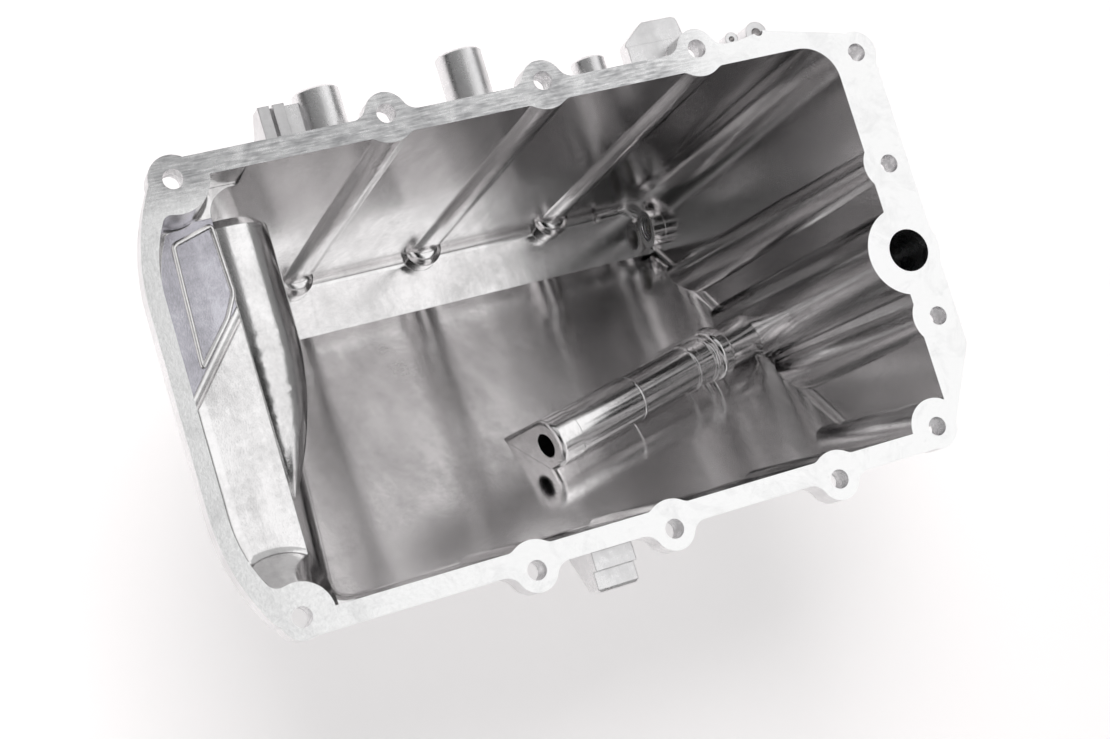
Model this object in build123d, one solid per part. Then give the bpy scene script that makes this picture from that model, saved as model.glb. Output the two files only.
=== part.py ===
"""Die-cast aluminium engine oil pan with a drain plug, its washer and a gallery plug. Millimetres.

The sealing face of the flange is z = 0 and faces up to the engine. X runs along the crankshaft.
Y runs across, with +Y on the tall straight wall and -Y on the sloped wall.
"""
from build123d import *
from math import cos, hypot, radians, sqrt, tan
import os

# Casting
wall = 4.0
flange_thickness = 12.4
cavity_depth = 238.0

# Inside of the sump at the sealing face
inside_half_width = 90.75
inside_right = 136.8
far_draft = 2.2
right_draft = 1.3
corner_radius = 17.0
near_corner_radius = 9.0
toe_radius = 5.0

# Left end wall, which leans in under the ledge
left_top = -161.2
left_lean = 15.0
left_corner_radius = 12.0

# Sloped wall: it starts at the floor's edge and climbs to the near rail
floor_edge_y = inside_half_width - 38.75
slope_angle = 49.0

# Flange outline
rail_width = 9.25
left_rail = 7.2
right_rail = 20.5
left_bend_y = inside_half_width - 48.75
left_bend_reach = 13.4
far_bump = 2.6
far_bump_x = (92.0, 106.0)

# Bolts round the flange
bolt_hole = 8.5
bolt_row_y = inside_half_width + 9.7
far_bolts_x = (-76.2, -3.9, 71.5)
near_bolts_x = (-70.3, -6.4, 74.9)
right_bolts_x = inside_right + 10.4
right_bolts_y = (29.9, -42.9)
far_left_bolt = (-170.7, inside_half_width + 1.05)
near_left_bolt = (-169.2, -inside_half_width - 0.65)
far_right_bolt = (inside_right + 12.0, inside_half_width - 7.25)
near_right_bolt = (inside_right - 7.5, 0.25 - inside_half_width)
bolt_boss_radius = 9.3
end_boss_radius = 10.2
boss_fillet = 7.0
near_right_cut = -58.0
flange_corner = 4.0

# Flutes: the wall is pulled in round each bolt to leave room for a socket
flute_radius = 12.9
flute_blend = 6.0
flute_sink = 0.15
end_flute_radius = 12.9
end_flute_lean = 2.68
foot_knob_radius = 10.0
foot_knob_height = 15.5
foot_knob_reach = 8.9
foot_knob_round = 5.5
end_blend = 3.0
lining_top = 5.0

# Ledge at the left end
ledge_depth = 25.0
ledge_length = 32.3
ledge_bend_y = inside_half_width - 44.75
ledge_bend = (9.6, 33.0)
ledge_fillet = 9.0
scallop_fillet = 4.0
pad_height = 1.6
pad_corner = (-181.0, 6.0)
pad_turn = (-158.0, 33.0)
pad_overhang = 5.5
groove_radius = 2.4
far_left_scallop = 15.0
far_left_scallop_growth = 0.015
near_left_scallop = 14.0
near_left_scallop_growth = 0.57
near_left_scallop_end = -153.0
near_left_scallop_fillet = 5.0
scallop_roots = (30.0, 20.0)

# Log-shaped bulge under the ledge. It tapers to a round tip at its near end
log_radius = 21.0
log_x = -148.5
log_drop = 2.0
log_far_end = inside_half_width - 12.75
log_taper_start = 30.0
log_tip = -43.0
log_edge = 4.0

# Oil port in the flange and its column
port = (inside_right + 6.3, -10.8)
port_hole = 19.6
column_radius = 20.5
column_lean = 0.86
column_outer_radius = 16.0

# Oil gallery along the sloped wall
gallery_end = (-12.0, -45.1, -108.0)
gallery_fall = 0.24
gallery_hole = 12.0
gallery_radius = 12.0
collar_step = 0.7
collar_length = 13.7
second_ring = 55.0
beads = ((55.0, 1.8, 0.7, 0.6), (94.0, 4.5, 0.9, 0.8), (106.0, 2.2, 1.2, 1.0), (109.5, 9.0, 2.6, 2.5))
end_rim = 2.5
rim_reach = 50.0
gallery_plug_diameter = 16.0
gallery_plug_length = 7.0
gallery_plug_inset = 1.0
cup_wall = 1.5
gallery_boss_reach = 9.0
lead_in = 1.0

# Drain at the right end of the floor
drain_y = floor_edge_y + 12.5
drain_above_floor = 10.5
drain_thread = 14.0
drain_inner_boss = 10.5
drain_inner_reach = 7.0
drain_outer_boss = 13.0
drain_outer_reach = 9.0
drain_hex = 19.0
drain_head = 8.0
drain_collar_diameter = 22.0
drain_collar = 2.5
drain_shank = 14.0
thread_clearance = 0.05
washer_thickness = 1.5
washer_diameter = 21.0
washer_clearance = 0.2

# Bosses that stand out of the far wall
boss_radius = 10.5
boss_x = (-97.4, -30.1)
boss_reaches = (21.5, 25.5)
boss_tip_chamfer = 1.0
boss_sink = 1.0
boss_tap = 8.5
boss_tap_depth = 26.0
small_boss_radius = 7.8
small_boss_x = 27.2
small_boss_reach = 10.5
small_boss_tap = 5.0
small_boss_tap_depth = 14.0
web_thickness = 5.0
web_fall = 1.5
fin_height = 40.0
rib_block_width = 18.0
rib_block_reach = 17.0

# Lugs
far_lug_x = 60.0
far_lug_width = 29.0
far_lug_reach = 21.3
far_lug_shoulder = 13.0
far_lug_thickness = 9.0
far_lug_top = 13.6
far_lug_step = 1.6
far_lug_corner = 3.0
near_lug_x = -32.0
near_lug_width = 19.0
near_lug_reach = 17.2
near_lug_step = 8.2
near_lug_thickness = 13.0
near_lug_drop = 3.0
near_lug_foot = 22.0
near_lug_chamfer = 1.2
pin_boss_radii = (5.2, 3.2)
pin_boss_places = ((103.5, 2.5), (90.7, 2.0))
pin_holes = (4.4, 2.5)
pin_hole_depth = 10.0
pin_boss_top = 2.0
pin_boss_height = 16.0

# Stiffening ribs on the outside of the sloped wall
rib_x = (-60.0, 0.0, 60.0)
rib_thickness = 4.0
rib_ends = (4.0, 8.0)
rib_height = 5.0

far_slope = tan(radians(far_draft))
right_slope = tan(radians(right_draft))
left_slope = tan(radians(left_lean))
climb = tan(radians(slope_angle))
end_lean = tan(radians(end_flute_lean))
port_lean = tan(radians(column_lean))
overshoot = 60.0

# How near a point is to a face or an edge that it lies on
on_face = 0.05
on_edge = 0.01

deep = cavity_depth + overshoot
from_foot = (Align.CENTER, Align.CENTER, Align.MIN)


def far_wall(z, skin=0.0):
    return inside_half_width + z * far_slope + skin


def right_wall(z, skin=0.0):
    return inside_right + z * right_slope + skin


def left_wall(z, skin=0.0):
    return left_top - z * left_slope - skin


def slope_z(y, skin=0.0):
    return -cavity_depth + (floor_edge_y - y) * climb - skin / cos(radians(slope_angle))


def edges_on(solid, rule):
    """Edges whose two ends and middle all pass the rule."""
    return [e for e in solid.edges() if all(rule(e @ t) for t in (0, 0.5, 1))]


def down(face, depth):
    """Solid from the face straight down."""
    return extrude(face, amount=depth, dir=(0, 0, -1))


def sump(skin):
    """Drafted sump with a flat floor and the sloped wall, its corners rounded. skin grows it."""
    bottom = -cavity_depth - skin
    across = Polygon((-far_wall(0, skin), 0), (far_wall(0, skin), 0), (far_wall(bottom, skin), bottom),
                     (-far_wall(bottom, skin), bottom), align=None)
    along = Polygon((left_wall(0, skin), 0), (right_wall(0, skin), 0), (right_wall(bottom, skin), bottom),
                    (left_wall(bottom, skin), bottom), align=None)
    body = extrude(Plane.YZ * across, amount=deep, both=True)
    body &= extrude(Plane.XZ * along, amount=deep, both=True)
    foot = floor_edge_y - skin * tan(radians(slope_angle / 2))
    top_y = -inside_half_width - overshoot
    wedge = Plane.YZ * Polygon((foot, bottom), (top_y, slope_z(top_y, skin)), (top_y, -deep),
                               (foot, -deep), align=None)
    body -= extrude(wedge, amount=deep, both=True)

    def far(p):
        return abs(p.Y - far_wall(p.Z, skin)) < on_face

    def near(p):
        return abs(p.Y + far_wall(p.Z, skin)) < on_face

    def right(p):
        return abs(p.X - right_wall(p.Z, skin)) < on_face

    def left(p):
        return abs(p.X - left_wall(p.Z, skin)) < on_face

    def floor(p):
        return abs(p.Z - bottom) < on_face

    def slope(p):
        return abs(p.Z - slope_z(p.Y, skin)) < on_face

    body = fillet(edges_on(body, lambda p: far(p) and right(p)), corner_radius + skin)
    body = fillet(edges_on(body, lambda p: near(p) and right(p)), near_corner_radius + skin)
    body = fillet(edges_on(body, lambda p: (far(p) or near(p)) and left(p)), left_corner_radius + skin)
    base = edges_on(body, lambda p: floor(p) or slope(p))
    crease = edges_on(body, lambda p: floor(p) and slope(p))
    toe = [e for e in base if all((e @ 0.5 - c @ 0.5).length > on_edge for c in crease)]
    return fillet(toe, toe_radius + skin)


def stand(x, y, radius, growth, start=0.0, length=deep):
    """Upright cone that hangs from the flange at x, y and grows on its way down."""
    foot = Plane(origin=(x, y, -start), z_dir=(0, 0, -1))
    return foot * Cone(radius + growth * start, radius + growth * (start + length), length, align=from_foot)


def post(x, y, radius, dx=0.0, dy=0.0, start=-5.0, length=deep):
    """Round post that hangs from the flange at x, y and leans (dx, dy) for each mm down."""
    foot = Plane(origin=(x + dx * start, y + dy * start, -start), z_dir=(dx, dy, -1))
    return foot * Cylinder(radius, length, align=from_foot)


def bore(x, y, radius, depth):
    """Cylinder from just over the sealing face straight down to the depth."""
    return Pos(x, y, 1) * Cylinder(radius, depth + 1, align=(Align.CENTER, Align.CENTER, Align.MAX))


side_bolts = [(x, bolt_row_y) for x in far_bolts_x] + [(x, -bolt_row_y) for x in near_bolts_x]
right_bolts = [(right_bolts_x, y) for y in right_bolts_y]
all_bolts = side_bolts + right_bolts + [far_left_bolt, near_left_bolt, far_right_bolt, near_right_bolt]
end_bolts = (far_left_bolt, far_right_bolt, near_right_bolt)


def side_flute(x, side):
    """Round flute under a side bolt, blended into the far (1) or near (-1) wall and parallel to it."""
    out = bolt_row_y - inside_half_width
    blend_y = flute_sink - flute_blend
    half = sqrt((flute_radius + flute_blend) ** 2 - (out - blend_y) ** 2)
    share = flute_radius / (flute_radius + flute_blend)
    touch_x, touch_y = half * share, out - (out - blend_y) * share
    section = make_face(Curve() + [
        TangentArc((-half, flute_sink), (-touch_x, touch_y), tangent=(1, 0)),
        ThreePointArc((-touch_x, touch_y), (0, out - flute_radius), (touch_x, touch_y)),
        TangentArc((half, flute_sink), (touch_x, touch_y), tangent=(-1, 0)),
        Polyline((half, flute_sink), (half, out), (-half, out), (-half, flute_sink))])
    flute = extrude(section, amount=deep, dir=(0, -far_slope, -1))
    return Pos(x, side * inside_half_width) * Rot(0, 0, 0 if side > 0 else 180) * flute


def foot_knob(x):
    """Domed knob at the foot of a far flute."""
    y = far_wall(-cavity_depth) - foot_knob_reach + foot_knob_radius
    knob = Pos(x, y, foot_knob_height - cavity_depth) * Cylinder(
        foot_knob_radius, 2 * foot_knob_height, align=(Align.CENTER, Align.CENTER, Align.MAX))
    return fillet(edges_on(knob, lambda p: p.Z > 1 - cavity_depth), foot_knob_round)


def end_lining():
    """Material behind the right wall, with the flutes of its two bolts and the port's column blended in."""
    top, back, end = lining_top, inside_right + end_flute_radius, inside_half_width - corner_radius
    section = Polygon((right_wall(top, flute_sink), top), (back, top), (back, -deep),
                      (right_wall(-deep, flute_sink), -deep), align=None)
    lining = extrude(Plane.XZ * section, amount=end, both=True)
    for x, y in right_bolts:
        lining += post(x, y, end_flute_radius, -end_lean)
    lining += post(*port, column_radius, -port_lean)

    def open_crease(p):
        on_wall = abs(p.X - right_wall(p.Z, flute_sink)) < on_face and 1 - deep < p.Z < top - 1
        beside_column = abs(p.Y - port[1] + column_radius) < 2 * end_blend
        return on_wall and abs(p.Y) < end - 1 and not beside_column

    return fillet(edges_on(lining, open_crease), end_blend)

outer_y = inside_half_width + rail_width
ledge_left = left_wall(-ledge_depth) - ledge_length
outer_left = ledge_left - left_rail
outer_right = inside_right + right_rail


def flange():
    """Flange plate with its bolt bosses, before the sump is opened."""
    far_bend = TangentArc((outer_left, left_bend_y), (outer_left + left_bend_reach, far_left_bolt[1]),
                          tangent=(0, 1))
    near_bend = TangentArc((outer_left, -left_bend_y), (outer_left + left_bend_reach, near_left_bolt[1]),
                           tangent=(0, -1))
    rest = Polyline(
        far_bend @ 1, (far_left_bolt[0], outer_y), (far_bump_x[0], outer_y),
        (far_bump_x[1], outer_y + far_bump),
        (far_right_bolt[0] - end_boss_radius / 3, far_right_bolt[1] + end_boss_radius),
        (outer_right, far_right_bolt[1]), (outer_right, near_right_cut),
        (near_right_bolt[0] + end_boss_radius, near_right_bolt[1]), (near_right_bolt[0], -outer_y),
        (near_left_bolt[0], -outer_y), near_bend @ 1)
    outline = make_face(Curve() + [far_bend, rest, near_bend, Line(far_bend @ 0, near_bend @ 0)])
    plate = down(outline, flange_thickness)
    corners = edges_on(plate.edges().filter_by(Axis.Z), lambda p: p.X > far_left_bolt[0] + 1)
    plate = fillet(corners, flange_corner)
    for x, y in all_bolts:
        boss = end_boss_radius if (x, y) in end_bolts else bolt_boss_radius
        seam = Rot(0, 0, 90 if y > 0 else -90)
        plate += down(Pos(x, y) * seam * Circle(boss), flange_thickness)
    plate += down(Pos(*port) * Circle(column_outer_radius), flange_thickness)
    root = [e for e in plate.edges().filter_by(Axis.Z) if abs(abs(e.center().Y) - outer_y) < 0.5
            and any(abs(e.center().X - x) < bolt_boss_radius + 1 for x in far_bolts_x + near_bolts_x)]
    return fillet(root, boss_fillet)


def ledge_outline(skin):
    """Plan of the shallow left end, which runs well into the sump. skin grows it."""
    left, side, inner_end = ledge_left - skin, inside_half_width + skin, left_top + log_radius
    bend_x, bend_y = left + ledge_bend[0], ledge_bend_y + ledge_bend[1] + skin / 2
    far_bend = TangentArc((left, ledge_bend_y), (bend_x, bend_y), tangent=(0, 1))
    near_bend = TangentArc((left, -ledge_bend_y), (bend_x, -bend_y), tangent=(0, -1))
    rest = Polyline(far_bend @ 1, (left_top + wall, side), (inner_end, side), (inner_end, -side),
                    (left_top + wall, -side), near_bend @ 1)
    return make_face(Curve() + [far_bend, rest, near_bend, Line(far_bend @ 0, near_bend @ 0)])


def near_scallop(skin=0.0, start=0.0):
    """Round shoulder that widens down to the ledge under the near left bolt. skin shrinks it."""
    radius, growth = near_left_scallop - skin, near_left_scallop_growth
    shoulder = stand(*near_left_bolt, radius, growth, start, ledge_depth + scallop_roots[1])
    beyond = Box(deep, deep, deep, align=(Align.MIN, Align.CENTER, Align.CENTER))
    return shoulder - Pos(near_left_scallop_end - skin, near_left_bolt[1]) * beyond


def ledge_space():
    """Open space over the ledge, with the raised pad and the groove along its edge."""
    space = down(ledge_outline(0.0), ledge_depth)
    space -= stand(*far_left_bolt, far_left_scallop, far_left_scallop_growth)
    space -= near_scallop()

    def left_foot(p):
        return abs(p.Z + ledge_depth) < on_edge and p.X < ledge_left + ledge_bend[0] + 1

    def round_foot(p, bolt, radius, growth):
        away = hypot(p.X - bolt[0], p.Y - bolt[1])
        return abs(p.Z + ledge_depth) < on_edge and abs(away - radius - growth * ledge_depth) < on_face

    def far_foot(p):
        return round_foot(p, far_left_bolt, far_left_scallop, far_left_scallop_growth)

    def near_foot(p):
        return round_foot(p, near_left_bolt, near_left_scallop, near_left_scallop_growth)

    space = fillet(edges_on(space, left_foot), ledge_fillet)
    space = fillet(edges_on(space, far_foot), scallop_fillet)
    space = fillet(edges_on(space, near_foot), near_left_scallop_fillet)
    edge_x = left_wall(-ledge_depth) + pad_overhang
    pad = Polygon(pad_corner, pad_turn, (edge_x, pad_turn[1] + 2 * pad_overhang), (edge_x, log_far_end),
                  (ledge_left, log_far_end), (ledge_left, pad_corner[1]), align=None)
    space -= Pos(0, 0, pad_height - ledge_depth) * down(pad, pad_height)
    start = Vector(*pad_corner, -ledge_depth)
    way = Vector(*pad_turn, -ledge_depth) - start
    groove = Plane(origin=start - way / 8, z_dir=way) * Cylinder(
        groove_radius, 1.5 * way.length, align=(Align.CENTER, Align.CENTER, Align.MIN))
    return space + groove


def log(skin):
    """Bulge under the ledge, turned about an axis along Y. skin shrinks it."""
    radius = log_radius - skin
    far_end, tip = log_far_end - skin, log_tip + skin
    taper = TangentArc((log_taper_start, radius), (tip, 0), tangent=(-1, 0))
    rest = Polyline(taper @ 1, (far_end, 0), (far_end, radius - log_edge), (far_end - log_edge, radius),
                    taper @ 0)
    turned = revolve(Plane.YZ * make_face(Curve() + [taper, rest]), Axis.Y)
    return Pos(log_x, 0, -ledge_depth - log_drop - log_radius) * turned


# The gallery's axis runs from its open end to the port's column
run_x, run_y = port[0] - gallery_end[0], port[1] - gallery_end[1]
gallery_axis = Vector(run_x, run_y, -gallery_fall * run_x)
gallery_length = gallery_axis.length
gallery_plane = Plane(origin=gallery_end, x_dir=(-run_y, run_x, 0), z_dir=gallery_axis)
port_depth = gallery_fall * run_x - gallery_end[2]
gallery_out = gallery_length + column_outer_radius + gallery_boss_reach
plug_start = gallery_out - gallery_plug_length - gallery_plug_inset


def rib_profile(radius):
    """Round crest on straight flanks that reach down to the sloped wall."""
    return Circle(radius) + Pos(0, -cavity_depth / 4) * Rectangle(2 * radius, cavity_depth / 2)


def gallery_rib():
    """Rib that carries the gallery, with a collar at its open end and beads on its crest."""
    plane = gallery_plane
    rib = extrude(plane * rib_profile(gallery_radius - collar_step), amount=gallery_length)
    rib += extrude(plane * rib_profile(gallery_radius), amount=second_ring)
    rib += extrude(plane * rib_profile(gallery_radius + collar_step), amount=collar_length)
    open_end = edges_on(rib, lambda p: abs(plane.to_local_coords(p).Z) < on_edge)
    rim = [e for e in open_end if (e @ 0.5).Z > gallery_end[2] - rim_reach]
    rib = fillet(rim, end_rim)
    for start, width, height, rounding in beads:
        bead = extrude(rib_profile(gallery_radius - collar_step + height), amount=width)
        bead = fillet(edges_on(bead, lambda p: p.Y > -1 and not on_edge < p.Z < width - on_edge), rounding)
        rib += plane.offset(start) * bead
    return rib


def far_boss(x, radius, tip):
    """Boss along Y, close under the flange, on a web that runs down the wall."""
    z = boss_sink - flange_thickness - radius
    root = far_wall(z) + wall / 2
    bar = Pos(x, root, z) * Rot(-90, 0, 0) * Cylinder(
        radius, tip - root, align=(Align.CENTER, Align.CENTER, Align.MIN))
    bar = chamfer(edges_on(bar, lambda p: abs(p.Y - tip) < on_edge), boss_tip_chamfer)
    foot = z - radius - web_fall * (tip - root)
    web = Plane.YZ * Polygon((tip - 2 * boss_tip_chamfer, z), (root, z), (far_wall(foot) + wall / 2, foot),
                             align=None)
    return bar + Pos(x, 0, 0) * extrude(web, amount=web_thickness / 2, both=True)


def far_tap(x, radius, tip, size, depth):
    """Blind hole in a far boss."""
    return Pos(x, tip - depth, boss_sink - flange_thickness - radius) * Rot(-90, 0, 0) * Cylinder(
        size / 2, depth + 1, align=(Align.CENTER, Align.CENTER, Align.MIN))


def rib_block():
    """Block with a shelf and two fins beside the first far boss."""
    root = far_wall(-flange_thickness) + wall / 2
    tip = outer_y + rib_block_reach
    right = boss_x[0] - boss_radius / 2
    left = boss_x[0] - boss_radius - rib_block_width
    shelf = Polygon((left, root), (left, tip), (right, tip), (right, root), align=None)
    block = Pos(0, 0, -flange_thickness - web_thickness) * down(shelf, web_thickness)
    for x in (left + web_thickness / 2, (left + boss_x[0] - boss_radius) / 2):
        fin = Plane.YZ * Polygon(
            (root, -flange_thickness), (tip, -flange_thickness), (tip, -flange_thickness - 2 * web_thickness),
            (root, -flange_thickness - fin_height), align=None)
        block += Pos(x, 0, 0) * extrude(fin, amount=web_thickness / 2, both=True)
    return block


def outer_bosses():
    """Bosses along Y on the far wall, and the ribbed block beside the first."""
    body = far_boss(small_boss_x, small_boss_radius, outer_y + small_boss_reach) + rib_block()
    for x, reach in zip(boss_x, boss_reaches):
        body += far_boss(x, boss_radius, outer_y + reach)
    return body


def pin_boss(x, away, radius):
    """Small upright boss beside the far rail."""
    return Pos(x, outer_y + away, -pin_boss_top) * Cylinder(
        radius, pin_boss_height, align=(Align.CENTER, Align.CENTER, Align.MAX))


def far_lug():
    """Flat lug with cut corners beside the last far bolt."""
    left, right, tip = far_lug_x - far_lug_width / 2, far_lug_x + far_lug_width / 2, outer_y + far_lug_reach
    root, shoulder = far_wall(-far_lug_top) + wall / 2, outer_y + far_lug_shoulder
    plan = Polygon((left, root), (left, shoulder), (far_lug_x - far_lug_width / 8, tip), (right - 1, tip),
                   (right, shoulder), (right, root), align=None)
    plate = down(plan, far_lug_thickness)
    corners = edges_on(plate.edges().filter_by(Axis.Z), lambda p: p.Y > outer_y)
    plate = fillet(corners, far_lug_corner)
    step_depth = 2 * (far_lug_reach - far_lug_shoulder) + 4
    step = Pos(far_lug_x, tip) * Box(2 * far_lug_width, step_depth, 2 * far_lug_step)
    return Pos(0, 0, -far_lug_top) * (plate - step)


def near_lug():
    """Stepped lug under the near rail."""
    root = -far_wall(-flange_thickness) - wall / 2
    first, tip = -outer_y - near_lug_step, -outer_y - near_lug_reach
    top, shelf = 1 - flange_thickness, -flange_thickness - near_lug_drop
    bottom = -flange_thickness - near_lug_thickness
    side = Plane.YZ * Polygon((root, top), (first, top), (first, shelf), (tip, shelf), (tip, bottom),
                              (root, bottom - near_lug_foot), align=None)
    lug = Pos(near_lug_x - near_lug_width / 2, 0, 0) * extrude(side, amount=near_lug_width, dir=(1, 0, 0))
    return chamfer(edges_on(lug, lambda p: abs(p.Y - tip) < on_edge), near_lug_chamfer)


def sloped_ribs():
    """Low ribs on the outside of the sloped wall."""
    y0, y1 = -far_wall(-flange_thickness) + rib_ends[0], floor_edge_y - rib_ends[1]
    side = Plane.YZ * Polygon((y0, slope_z(y0, wall / 2)), (y0, slope_z(y0, wall + rib_height)),
                              (y1, slope_z(y1, wall + rib_height)), (y1, slope_z(y1, wall / 2)), align=None)
    ribs = [Pos(x, 0, 0) * extrude(side, amount=rib_thickness / 2, both=True) for x in rib_x]
    return Part() + ribs


drain_z = -cavity_depth + drain_above_floor
drain_inner_x = right_wall(drain_z) - drain_inner_reach
drain_face = right_wall(drain_z) + wall + drain_outer_reach


def rod(x, y, z, radius, length):
    """Cylinder that starts at x and runs along +X."""
    return Pos(x, y, z) * Rot(0, 90, 0) * Cylinder(
        radius, length, align=(Align.CENTER, Align.CENTER, Align.MIN))


def along_gallery(start, radius, end):
    """Cylinder on the gallery's axis between two distances from its open end."""
    return gallery_plane.offset(start) * Cylinder(
        radius, end - start, align=(Align.CENTER, Align.CENTER, Align.MIN))


def oil_space():
    """Everything that is open inside the pan."""
    space = sump(0.0) + ledge_space() - log(0.0)
    for x in far_bolts_x:
        space -= side_flute(x, 1)
        space -= foot_knob(x)
    for x in near_bolts_x:
        space -= side_flute(x, -1)
    space -= end_lining()
    space -= post(*near_right_bolt, end_flute_radius, -end_lean, end_lean)
    space -= stand(*far_left_bolt, far_left_scallop, far_left_scallop_growth,
                   length=ledge_depth + scallop_roots[0])
    space -= near_scallop()
    space -= gallery_rib()
    space -= rod(drain_inner_x, drain_y, drain_z, drain_inner_boss, drain_inner_reach + wall)
    return max(space.solids(), key=lambda solid: solid.volume)


def casting():
    """The pan itself, one casting."""
    body = sump(wall) + down(ledge_outline(wall), ledge_depth + wall)
    body += outer_bosses()
    body += far_lug()
    body += near_lug()
    for (x, away), radius in zip(pin_boss_places, pin_boss_radii):
        body += pin_boss(x, away, radius)
    body += sloped_ribs()
    for x, y in side_bolts:
        body -= post(x, y, flute_radius - wall, 0, -far_slope if y > 0 else far_slope, flange_thickness)
    for x, y in right_bolts:
        body -= post(x, y, end_flute_radius - wall, -end_lean, 0, flange_thickness)
    body -= post(*near_right_bolt, end_flute_radius - wall, -end_lean, end_lean, flange_thickness)
    body -= post(*far_right_bolt, end_flute_radius - wall, 0, 0, flange_thickness)
    body -= stand(*far_left_bolt, far_left_scallop - wall, far_left_scallop_growth, flange_thickness)
    body -= near_scallop(wall, flange_thickness)
    body -= log(wall)
    body += flange()
    body += post(*port, column_outer_radius, -port_lean, 0, flange_thickness / 2, port_depth + gallery_radius)
    body += along_gallery(gallery_length, gallery_radius, gallery_out)
    body += rod(right_wall(drain_z), drain_y, drain_z, drain_outer_boss, wall + drain_outer_reach)
    body -= oil_space()
    for x, y in all_bolts:
        body -= bore(x, y, bolt_hole / 2, flange_thickness + 1)
    body -= bore(*port, port_hole / 2, port_depth + gallery_hole / 2)
    body -= along_gallery(-1, gallery_hole / 2, gallery_out + 1)
    body -= along_gallery(plug_start, gallery_plug_diameter / 2, gallery_out + 1)
    body -= rod(drain_inner_x - 1, drain_y, drain_z, drain_thread / 2, drain_face - drain_inner_x + 2)
    for x, reach in zip(boss_x, boss_reaches):
        body -= far_tap(x, boss_radius, outer_y + reach, boss_tap, boss_tap_depth)
    body -= far_tap(small_boss_x, small_boss_radius, outer_y + small_boss_reach, small_boss_tap,
                    small_boss_tap_depth)
    for (x, away), hole in zip(pin_boss_places, pin_holes):
        body -= bore(x, outer_y + away, hole / 2, pin_hole_depth)
    return body


def drain_plug():
    """Hexagon plug with a collar, screwed in from the right end."""
    seat = drain_face + washer_thickness
    shank = rod(seat - drain_shank, drain_y, drain_z, drain_thread / 2 - thread_clearance, drain_shank)
    shank = chamfer(edges_on(shank, lambda p: abs(p.X - seat + drain_shank) < on_edge), lead_in)
    collar = rod(seat, drain_y, drain_z, drain_collar_diameter / 2, drain_collar)
    head = Plane(origin=(seat + drain_collar, drain_y, drain_z), z_dir=(1, 0, 0)) * RegularPolygon(
        drain_hex / 2, 6, major_radius=False)
    return shank + collar + extrude(head, amount=drain_head, dir=(1, 0, 0))


def drain_plug_washer():
    """Flat sealing ring between the boss and the plug's collar."""
    ring = rod(drain_face, drain_y, drain_z, washer_diameter / 2, washer_thickness)
    hole = drain_thread / 2 + washer_clearance
    return ring - rod(drain_face - 1, drain_y, drain_z, hole, washer_thickness + 2)


def gallery_plug():
    """Cup plug pressed into the outer end of the gallery."""
    cup = along_gallery(plug_start, gallery_plug_diameter / 2, plug_start + gallery_plug_length)
    inner_rim = edges_on(cup, lambda p: abs(gallery_plane.to_local_coords(p).Z - plug_start) < on_edge)
    cup = chamfer(inner_rim, lead_in)
    return cup - along_gallery(plug_start + cup_wall, gallery_plug_diameter / 2 - cup_wall,
                               plug_start + gallery_plug_length + 1)


os.makedirs("parts", exist_ok=True)
for make in (casting, drain_plug, drain_plug_washer, gallery_plug):
    name = "oil_pan" if make is casting else make.__name__
    export_step(make(), f"parts/{name}.step")
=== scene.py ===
"""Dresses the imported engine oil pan: cast, blasted, milled and bored metal, threads, marks and the studio."""
import math

import bmesh
import bpy
from mathutils import Matrix, Vector
from mathutils.bvhtree import BVHTree


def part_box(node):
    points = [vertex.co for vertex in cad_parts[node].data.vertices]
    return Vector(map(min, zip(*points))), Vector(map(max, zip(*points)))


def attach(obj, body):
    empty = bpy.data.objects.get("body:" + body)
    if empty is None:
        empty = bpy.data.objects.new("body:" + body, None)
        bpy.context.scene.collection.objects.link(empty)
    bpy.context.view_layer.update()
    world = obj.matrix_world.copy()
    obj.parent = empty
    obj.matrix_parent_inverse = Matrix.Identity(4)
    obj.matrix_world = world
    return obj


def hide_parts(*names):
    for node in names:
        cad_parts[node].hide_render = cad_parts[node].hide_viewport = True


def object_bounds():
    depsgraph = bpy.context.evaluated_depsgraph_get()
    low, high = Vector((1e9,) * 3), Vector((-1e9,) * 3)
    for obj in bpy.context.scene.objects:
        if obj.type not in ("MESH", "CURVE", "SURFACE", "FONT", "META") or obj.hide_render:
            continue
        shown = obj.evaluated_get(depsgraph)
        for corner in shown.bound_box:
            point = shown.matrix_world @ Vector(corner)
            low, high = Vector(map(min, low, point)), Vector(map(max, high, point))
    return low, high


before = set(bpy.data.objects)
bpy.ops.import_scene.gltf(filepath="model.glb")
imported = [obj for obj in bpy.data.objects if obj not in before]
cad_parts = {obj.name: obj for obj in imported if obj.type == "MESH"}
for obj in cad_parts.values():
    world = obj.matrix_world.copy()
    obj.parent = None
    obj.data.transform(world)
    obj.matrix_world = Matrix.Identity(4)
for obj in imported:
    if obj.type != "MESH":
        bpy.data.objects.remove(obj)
cad_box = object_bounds()

bl_info = {
    "name": "Engine oil pan",
    "version": (1, 0, 0),
    "blender": (4, 5, 0),
    "location": "View3D > Sidebar > Oil pan",
    "description": "Finishes a die-cast oil pan: skin, milled face, bores, threads, plugs and studio",
    "category": "Object",
}

MM = 0.001

# Order of the casting's materials
CAST, MILLED, BORED, BLASTED, PAD = range(5)

# Bolt holes through the flange and the oil port, in millimetres
BOLT_PLACES = (
    (-76.2, 100.45), (-3.9, 100.45), (71.5, 100.45), (-70.3, -100.45), (-6.4, -100.45), (74.9, -100.45),
    (147.2, 29.9), (147.2, -42.9), (-170.7, 91.8), (-169.2, -91.4), (148.8, 83.5), (129.3, -90.5),
)
PORT_PLACE = (143.1, -10.8)

# What counts as the wall of a bolt hole or of the port, and how far off its level a flat face may be, in
# metres
BOLT_HOLE_REACH = 0.0046
BOLT_HOLE_DEPTH = 0.0135
PORT_REACH = 0.0101
FLATNESS = 2e-5

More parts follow.
